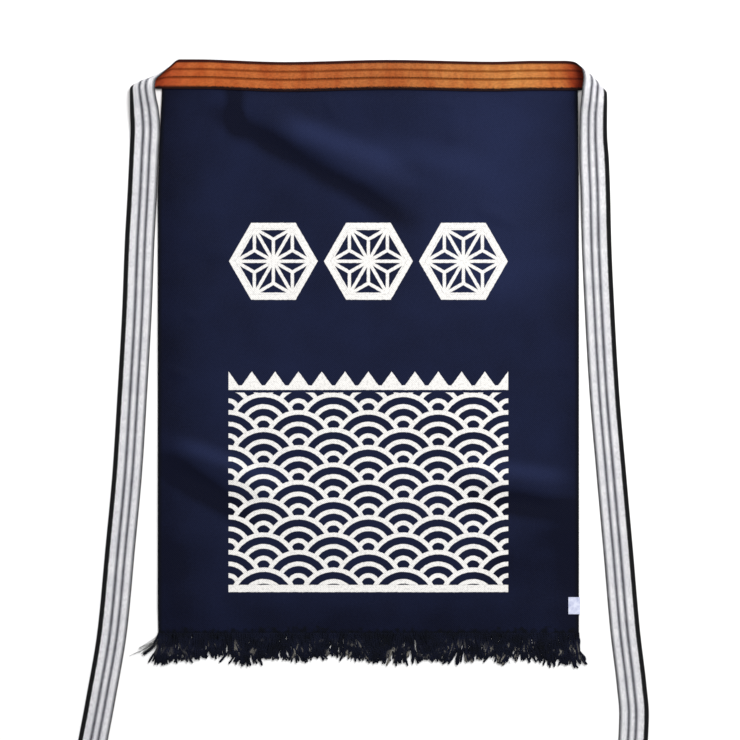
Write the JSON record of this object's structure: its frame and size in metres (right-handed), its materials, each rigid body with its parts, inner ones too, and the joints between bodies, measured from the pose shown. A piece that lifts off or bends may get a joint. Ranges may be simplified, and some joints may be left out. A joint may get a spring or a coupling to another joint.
{
  "type": "shop apron",
  "caption": "Waist apron of heavy canvas with a fringed lower edge and a woven tape that is its waistband and both ties, lying flat and face up.",
  "frame": {"origin": "middle of the canvas on its underside, in the plane that the apron lies on", "axes": "+X towards the picture's right, +Y up the canvas towards the waistband, +Z out of the apron's face"},
  "size_m": [0.6403, 0.777, 0.0207],
  "materials": {
    "canvas": "heavy indigo cotton canvas, matt",
    "tape": "woven cotton tape, orange face with dark stripes and a white reverse",
    "yarn": "twisted warp ends, black and navy cotton",
    "label": "pale woven tag, bare"
  },
  "bodies": {
    "root": {"canvas_panel": "canvas", "tie_band": "tape", "fringe": "yarn", "side_label": "label"}
  },
  "joints": []
}
